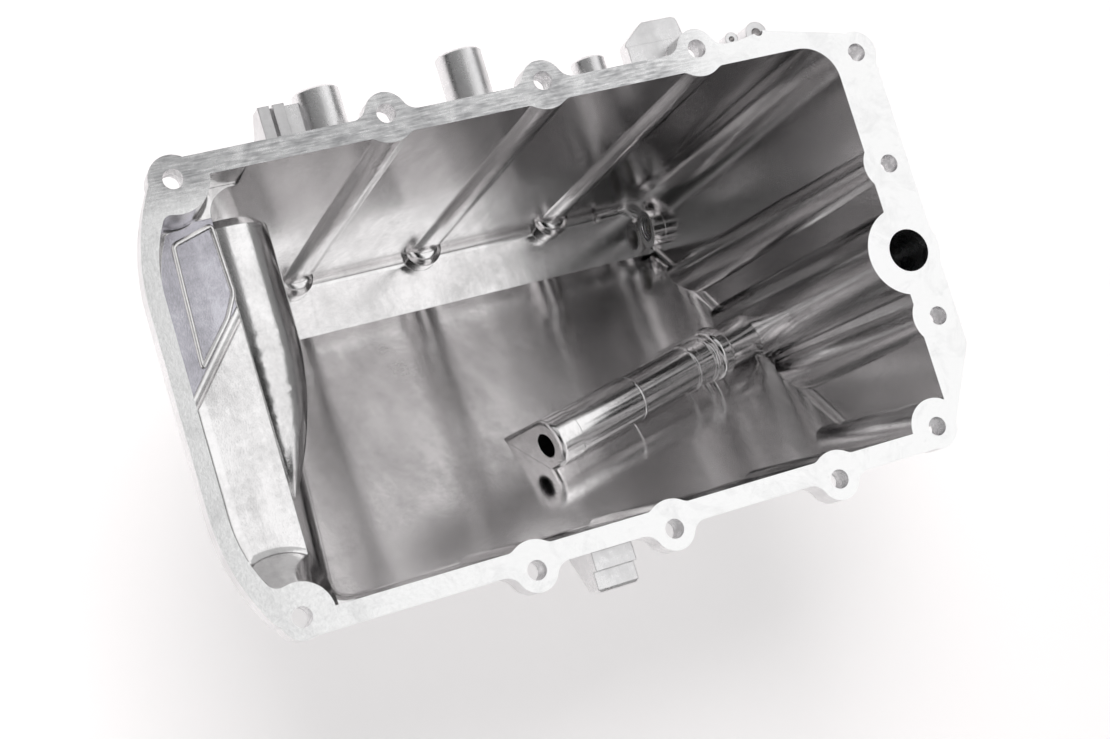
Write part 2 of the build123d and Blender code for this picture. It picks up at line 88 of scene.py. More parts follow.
# Tapped holes: mouth, way in, radius, pitch and depth of the thread, in millimetres
TAPPED_HOLES = (
    ((-97.4, 121.5, -21.9), (0, -1, 0), 4.25, 1.5, 20.0),
    ((-30.1, 125.5, -21.9), (0, -1, 0), 4.25, 1.5, 20.0),
    ((27.2, 110.5, -19.2), (0, -1, 0), 2.5, 1.0, 11.0),
)

# Drain hole: its inner mouth along X, and the width and pitch of its thread, in millimetres
DRAIN_MOUTH = 124.64
DRAIN_THREAD = 14.0
DRAIN_PITCH = 1.5

# Outside of the sloped wall, in millimetres: where the flat floor ends, as Y and Z, the wall's angle and
# thickness, and how far above the foot the lowest row of ejector marks is
FLOOR_EDGE = (52.0, -238.0)
SLOPE_DEGREES = 49.0
WALL = 4.0
MARKS_ABOVE_FOOT = 22.0

# Pip at the foot of the far wall, in millimetres
PIP_PLACE = (102.3, 77.2, -236.0)

# Corners of the raised border on the ledge's pad, and the height of the pad's face, in millimetres
PAD_CORNERS = ((-173.5, 70.0), (-156.0, 75.0), (-154.8, 45.0), (-160.0, 35.3), (-175.5, 17.5))
PAD_FACE = -23.4

# Camera of the reference view: place in metres and its three axes
CAMERA_PLACE = (-0.33457, -0.10372, 0.78881)
CAMERA_RIGHT = (0.90535, -0.28874, 0.31140)
CAMERA_UP = (0.23896, 0.95256, 0.18851)
CAMERA_BACK = (-0.35106, -0.09626, 0.93139)
CAMERA_FOCAL_PIXELS = 2015.57
CAMERA_SENSOR = 36.0
PHOTO_WIDTH = 1110

# Lengths in metres: pan's lift off the floor, run of the border's corners, start of a ray off its face
FLOOR_GAP = 0.0005
BORDER_BEND = 0.004
RAY_START = 0.0003

# Edges that turn more than this stay sharp: on the casting and plugs, on added ridges, on the pip
CAD_SHARP = 33.0
RIDGE_SHARP = 40.0
PIP_SHARP = 60.0

# Cards that the metal mirrors: name, corner, side along which the shade runs, other side, shades at both ends
MIRROR_CARDS = (
    ("ceiling", (-0.55, -2.1, 2.2), (0.7, 0, 0), (0, 4.0, 0), ("left_shade", "top_shade")),
    ("left_card", (-2.1, -2.5, 0.8), (0, 2.55, 0), (1.55, 0, 1.4), ("left_shade", "left_shade")),
    ("boss_card", (-2.1, 0.05, 0.8), (0, 2.5, 0), (1.55, 0, 1.4), ("boss_shade", "boss_shade")),
    ("left_wall", (-2.8, -2.5, -0.1), (0.7, 0, 0.9), (0, 5.0, 0), ("wall_shade", "left_shade")),
    ("right_wall", (2.8, -2.5, -0.1), (0, 5.0, 0), (-0.5, 0, 1.4), ("right_shade", "right_shade")),
    ("near_wall", (-2.8, -2.6, -0.1), (4.6, 0, 0), (0, 0.5, 2.3), ("near_shade", "near_shade")),
    ("far_card", (-2.2, 0.66, 2.15), (3.1, 0, 0), (0, 1.6, -1.9), ("far_shade", "far_shade")),
)


class PanFinishes(bpy.types.PropertyGroup):
    """Colours and finishes of the metals."""

    cast_colour: bpy.props.FloatVectorProperty(
        name="Cast skin", description="Colour of the bright die-cast skin", subtype="COLOR",
        default=(0.965, 0.953, 0.955), min=0, max=1)
    cast_shade: bpy.props.FloatVectorProperty(
        name="Cast skin, dull", description="Colour of the dull patches of the skin", subtype="COLOR",
        default=(0.62, 0.61, 0.61), min=0, max=1)
    cast_roughness: bpy.props.FloatProperty(
        name="Cast roughness", description="Roughness of the die-cast skin", default=0.17, min=0.02, max=1,
        subtype="FACTOR")
    blasted_colour: bpy.props.FloatVectorProperty(
        name="Blasted skin", description="Colour of the shot-blasted outside", subtype="COLOR",
        default=(0.86, 0.853, 0.858), min=0, max=1)
    blasted_shade: bpy.props.FloatVectorProperty(
        name="Blasted skin, dull", description="Colour of the dull patches of the outside", subtype="COLOR",
        default=(0.62, 0.613, 0.618), min=0, max=1)
    blasted_roughness: bpy.props.FloatProperty(
        name="Blasted roughness", description="Roughness of the shot-blasted outside", default=0.32, min=0.02,
        max=1, subtype="FACTOR")
    # The pad's colours are painted shade: darker and bluer than the ledge round it, standing in for the shading
    # of its shape
    pad_colour: bpy.props.FloatVectorProperty(
        name="Pad skin", description="Colour of the ledge's pad", subtype="COLOR",
        default=(0.66, 0.65, 0.71), min=0, max=1)
    pad_shade: bpy.props.FloatVectorProperty(
        name="Pad skin, dull", description="Colour of the dull patches of the pad", subtype="COLOR",
        default=(0.40, 0.39, 0.43), min=0, max=1)
    pad_roughness: bpy.props.FloatProperty(
        name="Pad roughness", description="Roughness of the ledge's pad", default=0.2, min=0.02, max=1,
        subtype="FACTOR")
    milled_colour: bpy.props.FloatVectorProperty(
        name="Milled face", description="Colour of the milled sealing face", subtype="COLOR",
        default=(0.965, 0.965, 0.965), min=0, max=1)
    # Grey of the far rail: partly a mottled film on the metal, partly a painted reflection of the darker studio
    # behind the rail
    rail_film_and_reflection_colour: bpy.props.FloatVectorProperty(
        name="Film", description="Colour of the grey film on the far rail", subtype="COLOR",
        default=(0.42, 0.42, 0.43), min=0, max=1)
    milled_roughness: bpy.props.FloatProperty(
        name="Milled roughness", description="Roughness of the milled sealing face", default=0.25, min=0.02,
        max=1, subtype="FACTOR")
    edge_round: bpy.props.FloatProperty(
        name="Edge rounding", description="Radius over which cast edges look rounded", default=0.0006,
        min=0, max=0.003, unit="LENGTH")


class DetailSizes(bpy.types.PropertyGroup):
    """Threads, marks, border and pip that the casting carries."""

    thread_height: bpy.props.FloatProperty(
        name="Thread height", description="Height of a thread's ridge as a share of its pitch", default=0.30,
        min=0.05, max=0.6, subtype="FACTOR")
    thread_lead: bpy.props.FloatProperty(
        name="Thread start", description="How far inside its hole a thread starts", default=0.0009, min=0,
        max=0.01, unit="LENGTH")
    mark_radius: bpy.props.FloatProperty(
        name="Ejector mark", description="Radius of an ejector pin's mark", default=0.004, min=0.001,
        max=0.02, unit="LENGTH")
    mark_height: bpy.props.FloatProperty(
        name="Mark height", description="How far an ejector pin's mark stands out", default=0.0003,
        min=0.0001, max=0.002, unit="LENGTH")
    mark_columns: bpy.props.IntProperty(
        name="Mark columns", description="Ejector marks along the wall", default=4, min=1, max=10)
    mark_rows: bpy.props.IntProperty(
        name="Mark rows", description="Ejector marks up the wall", default=3, min=1, max=10)
    marks_width: bpy.props.FloatProperty(
        name="Marks' width", description="Distance from the first column of marks to the last", default=0.18,
        min=0, max=0.3, unit="LENGTH")
    marks_height: bpy.props.FloatProperty(
        name="Marks' height", description="Distance from the lowest row of marks to the highest", default=0.1,
        min=0, max=0.2, unit="LENGTH")
    border_radius: bpy.props.FloatProperty(
        name="Border radius", description="Radius of the round border on the ledge's pad", default=0.0013,
        min=0.0003, max=0.003, unit="LENGTH")
    border_height: bpy.props.FloatProperty(
        name="Border height", description="How far that border stands proud of the pad", default=0.0008,
        min=0.0001, max=0.002, unit="LENGTH")
    pip_radius: bpy.props.FloatProperty(
        name="Pip", description="Radius of the pip at the far wall's foot", default=0.0017, min=0.0005,
        max=0.005, unit="LENGTH")


class StudioSizes(bpy.types.PropertyGroup):
    """Floor, lamp and cards of the studio."""

    floor_colour: bpy.props.FloatVectorProperty(
        name="Floor", description="Colour of the floor", subtype="COLOR", default=(0.93, 0.885, 0.885), min=0,
        max=1)
    floor_glow: bpy.props.FloatProperty(
        name="Floor glow", description="White that the camera sees on the floor besides its lit colour",
        default=0.47, min=0, max=1, subtype="FACTOR")
    sky_fill: bpy.props.FloatProperty(
        name="Fill", description="Strength of the even light from all round", default=0.25, min=0, max=2)
    softbox_place: bpy.props.FloatVectorProperty(
        name="Softbox place", description="Where the softbox hangs", subtype="XYZ", unit="LENGTH",
        default=(-0.25, 1.0, 2.1))
    softbox_power: bpy.props.FloatProperty(
        name="Softbox power", description="Power of the softbox", default=30, min=0, max=500, unit="POWER")
    softbox_width: bpy.props.FloatProperty(
        name="Softbox width", description="Side of the softbox", default=1.2, min=0.1, max=5, unit="LENGTH")
    floor_width: bpy.props.FloatProperty(
        name="Floor width", description="Side of the floor", default=12, min=1, max=50, unit="LENGTH")
    top_shade: bpy.props.FloatProperty(
        name="Ceiling", description="Brightness of the mirrored ceiling over the pan's middle", default=0.30,
        min=0, max=1)
    left_shade: bpy.props.FloatProperty(
        name="Left card", description="Brightness of the mirrored card over the left end", default=0.01,
        min=0, max=1)
    boss_shade: bpy.props.FloatProperty(
        name="Left far card", description="Brightness of the mirrored card over the left end's far half",
        default=0.25, min=0, max=1)
    far_shade: bpy.props.FloatProperty(
        name="Far card", description="Brightness of the mirrored card behind the far rail", default=0.52,
        min=0, max=1)
    right_shade: bpy.props.FloatProperty(
        name="Right wall", description="Brightness of the mirrored wall low down at the right", default=0.22,
        min=0, max=1)
    near_shade: bpy.props.FloatProperty(
        name="Near wall", description="Brightness of the mirrored wall low down before the near rail",
        default=0.02, min=0, max=1)
    wall_shade: bpy.props.FloatProperty(
        name="Left wall", description="Brightness of the mirrored wall low down at the left", default=0.06,
        min=0, max=1)


def node(tree, kind, links=None, **settings):
    """Adds a node. links maps an input to a value or to a socket."""
    made = tree.nodes.new(kind)
    for key, value in settings.items():
        setattr(made, key, value)
    for key, value in (links or {}).items():
        if isinstance(value, bpy.types.NodeSocket):
            tree.links.new(value, made.inputs[key])
        else:
            made.inputs[key].default_value = value
    return made


def new_material(name):
    material = bpy.data.materials.new(name)
    material.use_nodes = True
    material.node_tree.nodes.clear()
    return material, material.node_tree


def colour(value):
    return (*value, 1.0)


def noise(tree, place, scale, detail, roughness, distortion=0.0):
    return node(tree, "ShaderNodeTexNoise", {
        "Vector": place, "Scale": scale, "Detail": detail, "Roughness": roughness, "Distortion": distortion,
    }).outputs["Fac"]


def stretched(tree, place, scale):
    return node(tree, "ShaderNodeMapping", {"Vector": place, "Scale": scale}).outputs["Vector"]


def remap(tree, value, low, high, to_low, to_high):
    return node(tree, "ShaderNodeMapRange", {
        "Value": value, "From Min": low, "From Max": high, "To Min": to_low, "To Max": to_high,
    }).outputs["Result"]


def blend(tree, factor, first, second):
    made = node(tree, "ShaderNodeMix", data_type="RGBA")
    for socket, value in (("Factor_Float", factor), ("A_Color", first), ("B_Color", second)):
        entry = next(i for i in made.inputs if i.identifier == socket)
        if isinstance(value, bpy.types.NodeSocket):
            tree.links.new(value, entry)
        else:
            entry.default_value = value
    return next(o for o in made.outputs if o.identifier == "Result_Color")


def arithmetic(tree, operation, first, second):
    return node(tree, "ShaderNodeMath", {0: first, 1: second}, operation=operation).outputs[0]


def plus(tree, first, second):
    return arithmetic(tree, "ADD", first, second)


def times(tree, first, second):
    return arithmetic(tree, "MULTIPLY", first, second)


def bump(tree, height, distance, normal=None):
    links = {"Height": height, "Distance": distance, "Strength": 1.0}
    if normal is not None:
        links["Normal"] = normal
    return node(tree, "ShaderNodeBump", links).outputs["Normal"]


def metal_output(tree, base, roughness, normal):
    shader = node(tree, "ShaderNodeBsdfPrincipled", {
        "Base Color": base, "Roughness": roughness, "Normal": normal, "Metallic": 1.0})
    node(tree, "ShaderNodeOutputMaterial", {"Surface": shader.outputs["BSDF"]})


def cast_skin(finish, kind="cast"):
    """Die-cast aluminium: dull flow patches, draw marks down the walls and a fine skin.

    The kind is cast for the bright inside, blasted for the outside and pad for the ledge's pad, which is
    coloured darker and bluer as painted shade."""
    name = kind + "_skin"
    if name in bpy.data.materials:
        return bpy.data.materials[name]
    material, tree = new_material(name)
    bright, shade, roughness = (getattr(finish, kind + end) for end in ("_colour", "_shade", "_roughness"))
    wave_height, streak_height = 0.00020, 0.00002
    grain_height = 0.00006 if kind == "blasted" else 0.00003
    patch_share, streak_share, mottle_share = 0.6, 0.2, 0.2
    place = node(tree, "ShaderNodeTexCoord").outputs["Object"]
    patches = noise(tree, stretched(tree, place, (1, 1, 0.45)), 17.0, 5.0, 0.62)
    streaks = noise(tree, stretched(tree, place, (1, 0.18, 0.07)), 120.0, 4.0, 0.65)
    grain = noise(tree, place, 1400.0, 2.0, 0.6)
    mottle = noise(tree, place, 330.0, 4.0, 0.7)
    waves = noise(tree, stretched(tree, place, (1, 0.5, 0.35)), 38.0, 2.0, 0.5)
    mixed = plus(tree, times(tree, patches, patch_share),
                 plus(tree, times(tree, streaks, streak_share), times(tree, mottle, mottle_share)))
    dull = remap(tree, mixed, 0.44, 0.70, 0.0, 1.0)
    base = blend(tree, dull, colour(bright), colour(shade))
    rough = plus(tree, remap(tree, dull, 0.0, 1.0, roughness - 0.05, roughness + 0.12),
                 remap(tree, grain, 0.3, 0.7, -0.03, 0.04))
    rounded = node(tree, "ShaderNodeBevel", {"Radius": finish.edge_round}, samples=4).outputs["Normal"]
    drawn = bump(tree, streaks, streak_height, bump(tree, waves, wave_height, rounded))
    metal_output(tree, base, rough, bump(tree, grain, grain_height, drawn))
    return material


def milled_face(finish):
    """Face-milled aluminium with shallow arcs and scuffs. Its far rail has a grey, mottled film that is partly
    a painted reflection of the darker studio behind that rail.
    """
    material, tree = new_material("milled_sealing_face")
    place = node(tree, "ShaderNodeTexCoord").outputs["Object"]
    cutter_centre, arc_height, speck_height = (0.35, -0.12, 0.0), 0.000001, 0.00003
    centred = node(tree, "ShaderNodeMapping", {"Vector": place, "Location": cutter_centre}).outputs["Vector"]
    arcs = node(tree, "ShaderNodeTexWave", {
        "Vector": centred, "Scale": 190.0, "Distortion": 0.6, "Detail": 2.0, "Detail Scale": 2.0,
    }, wave_type="RINGS", rings_direction="Z").outputs["Fac"]
    cloud = noise(tree, place, 60.0, 5.0, 0.7, 0.8)
    specks = noise(tree, place, 620.0, 3.0, 0.7)
    scuffs = noise(tree, stretched(tree, place, (0.12, 1, 1)), 900.0, 2.0, 0.6)
    axes = node(tree, "ShaderNodeSeparateXYZ", {0: place}).outputs
    # Mask of the far rail, whose grey is partly film and partly a painted reflection
    far_rail_film_and_reflection = times(tree, remap(tree, axes["Y"], 0.078, 0.090, 0.0, 1.0),
                     remap(tree, axes["X"], 0.050, 0.080, 1.0, 0.0))
    film = times(tree, far_rail_film_and_reflection, remap(tree, plus(tree, cloud, scuffs), 0.75, 1.2, 1.0, 0.25))
    dull = arithmetic(tree, "MAXIMUM", remap(tree, cloud, 0.5, 0.8, 0.0, 0.22), film)
    base = blend(tree, dull, colour(finish.milled_colour), colour(finish.rail_film_and_reflection_colour))
    smooth = finish.milled_roughness
    rough = plus(tree, remap(tree, dull, 0.0, 1.0, smooth - 0.04, smooth + 0.12),
                 remap(tree, specks, 0.3, 0.7, -0.05, 0.05))
    metal_output(tree, base, rough, bump(tree, specks, speck_height, bump(tree, arcs, arc_height)))
    return material


def bored_metal(name, base_colour, roughness, pitch):
    """Turned or bored metal with fine rings along Z and a little film."""
    material, tree = new_material(name)
    place = node(tree, "ShaderNodeTexCoord").outputs["Object"]
    rings = node(tree, "ShaderNodeTexWave", {
        "Vector": place, "Scale": 0.5 / pitch, "Distortion": 1.0, "Detail": 2.0,
    }, wave_type="BANDS", bands_direction="Z").outputs["Fac"]
    film = noise(tree, place, 240.0, 4.0, 0.6)
    filmed, ring_height = [c * 0.72 for c in base_colour], 0.00002
    base = blend(tree, remap(tree, film, 0.35, 0.7, 0.0, 1.0), colour(base_colour), colour(filmed))
    rough = remap(tree, film, 0.3, 0.7, roughness - 0.05, roughness + 0.08)
    metal_output(tree, base, rough, bump(tree, rings, ring_height))
    return material


def plain_mesh(obj):
    """Applies the modifiers of obj and leaves its result as its own plain mesh."""
    bpy.context.view_layer.update()
    evaluated = obj.evaluated_get(bpy.context.evaluated_depsgraph_get())
    made = bpy.data.meshes.new_from_object(evaluated, preserve_all_data_layers=True,
                                           depsgraph=bpy.context.evaluated_depsgraph_get())
    obj.modifiers.clear()
    obj.data = made
    return obj


def sharpen(work, degrees):
    """Smooths all faces of work and keeps its open edges and those that turn more than degrees sharp."""
    for face in work.faces:
        face.smooth = True
    for edge in work.edges:
        edge.smooth = len(edge.link_faces) == 2 and edge.calc_face_angle() < math.radians(degrees)


def merged_copy(node_name, name):
    """Copy of a CAD node with its faces joined, smooth over its curves and sharp at its edges."""
    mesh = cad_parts[node_name].data.copy()
    mesh.materials.clear()
    work = bmesh.new()
    work.from_mesh(mesh)
    bmesh.ops.remove_doubles(work, verts=work.verts, dist=1e-6)
    bmesh.ops.dissolve_degenerate(work, edges=work.edges, dist=1e-7)
    sharpen(work, CAD_SHARP)
    work.to_mesh(mesh)
    work.free()
    if mesh.has_custom_normals:
        mesh.normals_split_custom_set([(0, 0, 0)] * len(mesh.loops))
    obj = bpy.data.objects.new(name, mesh)
    bpy.context.scene.collection.objects.link(obj)
    weighted = obj.modifiers.new("even faces", "WEIGHTED_NORMAL")
    weighted.keep_sharp = True
    weighted.mode = "FACE_AREA_WITH_ANGLE"
    return plain_mesh(obj)


def shape_tree(name, inputs):
    """Geometry Nodes tree with named inputs. Gives the tree, its inputs and a function that ends it."""
    tree = bpy.data.node_groups.new(name, "GeometryNodeTree")
    tree.interface.new_socket("Geometry", in_out="OUTPUT", socket_type="NodeSocketGeometry")
    tree.interface.new_socket("Material", in_out="INPUT", socket_type="NodeSocketMaterial")
    for key, kind in inputs:
        tree.interface.new_socket(key, in_out="INPUT", socket_type="NodeSocket" + kind)
    entry = tree.nodes.new("NodeGroupInput").outputs

    def finish(geometry):
        real = node(tree, "GeometryNodeRealizeInstances", {0: geometry}).outputs[0]
        dressed = node(tree, "GeometryNodeSetMaterial", {"Geometry": real, "Material": entry["Material"]})
        node(tree, "NodeGroupOutput", {0: dressed.outputs[0]})

    return tree, entry, finish


def thread_tree():
    """Ridge of triangular section that winds round Z from z = 0 down."""
    tree, entry, finish = shape_tree("thread ridge", (
        ("Radius", "Float"), ("Pitch", "Float"), ("Length", "Float"), ("Height", "Float")))
    turns = arithmetic(tree, "DIVIDE", entry["Length"], entry["Pitch"])
    path = node(tree, "GeometryNodeCurveSpiral", {
        "Resolution": 28, "Rotations": turns, "Start Radius": entry["Radius"], "End Radius": entry["Radius"],
        "Height": entry["Length"]}).outputs[0]
    section = node(tree, "GeometryNodeCurvePrimitiveCircle", {
        "Resolution": 4, "Radius": times(tree, entry["Pitch"], entry["Height"])}).outputs[0]
    ridge = node(tree, "GeometryNodeCurveToMesh", {
        "Curve": path, "Profile Curve": section, "Fill Caps": True}).outputs[0]
    finish(ridge)
    return tree


def mark_tree():
    """Grid of low discs on the plane z = 0."""
    tree, entry, finish = shape_tree("ejector marks", (
        ("Width", "Float"), ("Depth", "Float"), ("Columns", "Int"), ("Rows", "Int"), ("Radius", "Float"),
        ("Height", "Float")))
    grid = node(tree, "GeometryNodeMeshGrid", {
        "Size X": entry["Width"], "Size Y": entry["Depth"], "Vertices X": entry["Columns"],
        "Vertices Y": entry["Rows"]}).outputs[0]
    disc = node(tree, "GeometryNodeMeshCylinder", {
        "Vertices": 40, "Radius": entry["Radius"],
        "Depth": times(tree, entry["Height"], 2.0)}).outputs[0]
    finish(node(tree, "GeometryNodeInstanceOnPoints", {"Points": grid, "Instance": disc}).outputs[0])
    return tree


def grown_mesh(tree, place, **values):
    """Plain mesh that tree makes with these inputs, moved to place."""
    obj = bpy.data.objects.new(tree.name, bpy.data.meshes.new(tree.name))
    bpy.context.scene.collection.objects.link(obj)
    grower = obj.modifiers.new("grow", "NODES")
    grower.node_group = tree
    for item in tree.interface.items_tree:
        if item.in_out == "INPUT":
            grower[item.identifier] = values[item.name]
    plain_mesh(obj)
    mesh = obj.data
    bpy.data.objects.remove(obj)
    mesh.transform(place)
    return mesh


def joined_piece(name, meshes, sharp_degrees):
    """One object from several meshes of one material, its faces turned outwards."""
    work = bmesh.new()
    for mesh in meshes:
        work.from_mesh(mesh)
    bmesh.ops.remove_doubles(work, verts=work.verts, dist=1e-7)
    bmesh.ops.recalc_face_normals(work, faces=work.faces)
    for face in work.faces:
        face.material_index = 0
    sharpen(work, sharp_degrees)
    made = bpy.data.meshes.new(name)
    work.to_mesh(made)
    work.free()
    made.materials.append(meshes[0].materials[0])
    obj = bpy.data.objects.new(name, made)
    bpy.context.scene.collection.objects.link(obj)
    return obj


def towards(direction, place):
    """Turn of Z to direction and move to place, in metres."""
    turn = Vector(direction).to_track_quat("Z", "Y").to_matrix().to_4x4()
    return Matrix.Translation(place) @ turn


def inside_faces(mesh):
    """Tells for each face whether it lies in the cavity: metal below it and all round it."""
    tree = BVHTree.FromPolygons([v.co for v in mesh.vertices], [tuple(f.vertices) for f in mesh.polygons])
    ways = [Vector(way) for way in ((0, 0, -1), (1, 0, 0), (-1, 0, 0), (0, 1, 0), (0, -1, 0))]
    return [all(tree.ray_cast(face.center + face.normal * RAY_START, way)[0] for way in ways)
            for face in mesh.polygons]


def add_piece(obj, slot, *nodes):
    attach(obj, "root")
    if nodes:
        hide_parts(*nodes)


class OILPAN_OT_dress_casting(bpy.types.Operator):
    """Joins the faces of the casting and gives it its skin, milled face and bores."""

    bl_idname = "oil_pan.dress_casting"
    bl_label = "Dress the casting"

    def execute(self, context):
        finish = context.scene.pan_finishes
        pan = merged_copy("oil_pan", "pan_casting")
        finishes = {
            CAST: cast_skin(finish), MILLED: milled_face(finish),
            BORED: bored_metal("bored_aluminium", (0.74, 0.74, 0.75), 0.26, 0.0004),
            BLASTED: cast_skin(finish, "blasted"), PAD: cast_skin(finish, "pad"),
        }
        for _, material in sorted(finishes.items()):
            pan.data.materials.append(material)
        inside = inside_faces(pan.data)
        for face in pan.data.polygons:
            heights = [pan.data.vertices[v].co.z for v in face.vertices]

            def level(height):
                return all(abs(z - height) < FLATNESS for z in heights)

            def near(spot, reach):
                return math.hypot(face.center.x - spot[0] * MM, face.center.y - spot[1] * MM) < reach

            upright = face.center.z > -BOLT_HOLE_DEPTH and abs(face.normal.z) < 0.5
            if level(0.0):
                face.material_index = MILLED
            elif near(PORT_PLACE, PORT_REACH) or upright and any(near(spot, BOLT_HOLE_REACH)
                                                                 for spot in BOLT_PLACES):
                face.material_index = BORED
            elif not inside[face.index]:
                face.material_index = BLASTED
            # The pad's darker skin is painted shade
            elif level(PAD_FACE * MM):
                face.material_index = PAD
        add_piece(pan, "cast_aluminium", "oil_pan")
        return {"FINISHED"}


class OILPAN_OT_dress_plugs(bpy.types.Operator):
    """Gives the drain plug, its washer and the gallery plug their metals."""

    bl_idname = "oil_pan.dress_plugs"
    bl_label = "Dress the plugs"

    def execute(self, context):
        for node_name, name, slot, base, rough in (
                ("drain_plug", "drain_screw", "plated_steel", (0.66, 0.64, 0.56), 0.3),
                ("drain_plug_washer", "drain_washer", "washer_aluminium", (0.82, 0.82, 0.82), 0.35),
                ("gallery_plug", "gallery_cup", "plug_steel", (0.6, 0.6, 0.6), 0.28)):
            piece = merged_copy(node_name, name)
            piece.data.materials.append(bored_metal(name + "_metal", base, rough, 0.0005))
            add_piece(piece, slot, node_name)
        return {"FINISHED"}


class OILPAN_OT_cut_threads(bpy.types.Operator):
    """Winds a thread in each tapped hole of the side bosses and in the drain hole's inner end."""

    bl_idname = "oil_pan.cut_threads"
    bl_label = "Cut the threads"

    def execute(self, context):
        detail = context.scene.pan_details
        tree = thread_tree()
        metal = bored_metal("tapped_aluminium", (0.72, 0.72, 0.73), 0.24, 0.0004)
        low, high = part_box("drain_plug")
        radius, pitch = DRAIN_THREAD * MM / 2, DRAIN_PITCH * MM
        mouth = Vector((DRAIN_MOUTH * MM, (low.y + high.y) / 2, (low.z + high.z) / 2))
        holes = [(Vector(place) * MM, way, radius * MM, pitch * MM, depth * MM)
                 for place, way, radius, pitch, depth in TAPPED_HOLES]
        holes.append((mouth, (1, 0, 0), radius, pitch, low.x - mouth.x - pitch))
        meshes = []
        for place, way, radius, pitch, depth in holes:
            start = place + Vector(way) * detail.thread_lead
            meshes.append(grown_mesh(tree, towards(way, start), Material=metal, Radius=radius, Pitch=pitch,
                                     Length=depth, Height=detail.thread_height))
        add_piece(joined_piece("tapped_threads", meshes, RIDGE_SHARP), "cast_aluminium")
        return {"FINISHED"}


class OILPAN_OT_place_marks(bpy.types.Operator):
    """Sets the ejector pins' marks on the outside of the sloped wall and the pip at the far wall's foot."""

    bl_idname = "oil_pan.place_marks"
    bl_label = "Place the ejector marks"

    def execute(self, context):
        detail = context.scene.pan_details
        angle = math.radians(SLOPE_DEGREES)
        outwards = Vector((0, -math.sin(angle), -math.cos(angle)))
        up_wall = Vector((0, -math.cos(angle), math.sin(angle)))
        foot = Vector((0, FLOOR_EDGE[0], FLOOR_EDGE[1])) * MM + outwards * WALL * MM
        middle = foot + up_wall * (detail.marks_height / 2 + MARKS_ABOVE_FOOT * MM)
        frame_of_wall = Matrix((Vector((1, 0, 0)), up_wall, Vector((1, 0, 0)).cross(up_wall))).transposed()
        place = Matrix.Translation(middle) @ frame_of_wall.to_4x4()
        skin = cast_skin(context.scene.pan_finishes, "blasted")
        marks = grown_mesh(mark_tree(), place, Material=skin, Width=detail.marks_width,
                           Depth=detail.marks_height, Columns=detail.mark_columns, Rows=detail.mark_rows,
                           Radius=detail.mark_radius, Height=detail.mark_height)
        add_piece(joined_piece("ejector_marks", [marks], RIDGE_SHARP), "cast_aluminium")

        pip = bpy.data.meshes.new("foot_pip")
        work = bmesh.new()
        bmesh.ops.create_icosphere(work, subdivisions=3, radius=detail.pip_radius,
                                   matrix=Matrix.Translation(Vector(PIP_PLACE) * MM))
        work.to_mesh(pip)
        work.free()
        pip.materials.append(cast_skin(context.scene.pan_finishes))
        add_piece(joined_piece("foot_pip", [pip], PIP_SHARP), "cast_aluminium")
        return {"FINISHED"}


class OILPAN_OT_border_pad(bpy.types.Operator):
    """Lays the round border of the ledge's pad along its corners."""

    bl_idname = "oil_pan.border_pad"
    bl_label = "Border the pad"

    def execute(self, context):
        detail = context.scene.pan_details
        level = PAD_FACE * MM + detail.border_height - detail.border_radius
        corners = [Vector((x * MM, y * MM, level)) for x, y in PAD_CORNERS]
        path = []
        for before, corner, after in zip(corners[-1:] + corners[:-1], corners, corners[1:] + corners[:1]):
            path += [corner + (end - corner).normalized() * BORDER_BEND * share
                     for end, share in ((before, 1), (before, 0), (after, 1))]
        curve = bpy.data.curves.new("pad_border", "CURVE")
        curve.dimensions = "3D"
        spline = curve.splines.new("NURBS")
        spline.points.add(len(path) - 1)
        for point, spot in zip(spline.points, path):
            point.co = (*spot, 1.0)
        spline.order_u = 3
        spline.use_cyclic_u = True
        curve.resolution_u = 6
        curve.bevel_depth = detail.border_radius
        curve.bevel_resolution = 5
        round_bar = bpy.data.objects.new("pad_border_path", curve)
        context.scene.collection.objects.link(round_bar)
        context.view_layer.update()
        mesh = bpy.data.meshes.new_from_object(round_bar.evaluated_get(context.evaluated_depsgraph_get()))
        bpy.data.objects.remove(round_bar)
        mesh.materials.clear()
        mesh.materials.append(cast_skin(context.scene.pan_finishes))
        add_piece(joined_piece("pad_border", [mesh], RIDGE_SHARP), "cast_aluminium")
        return {"FINISHED"}


def area_lamp(name, place, aim, width, power):
    """Square lamp that lights the floor and isn't mirrored in the metal."""
    data = bpy.data.lights.new(name, "AREA")
    data.shape, data.size, data.energy = "SQUARE", width, power
    lamp = bpy.data.objects.new(name, data)
    lamp.location = place
    lamp.visible_glossy = False
    lamp.rotation_euler = (Vector(aim) - Vector(place)).to_track_quat("-Z", "Y").to_euler()
    bpy.context.scene.collection.objects.link(lamp)


def card(name, corners, material):
    """Flat card of the studio."""
    mesh = bpy.data.meshes.new(name)
    mesh.from_pydata(corners, [], [(0, 1, 2, 3)])
    mesh.materials.append(material)
    obj = bpy.data.objects.new(name, mesh)
    bpy.context.scene.collection.objects.link(obj)
    return obj


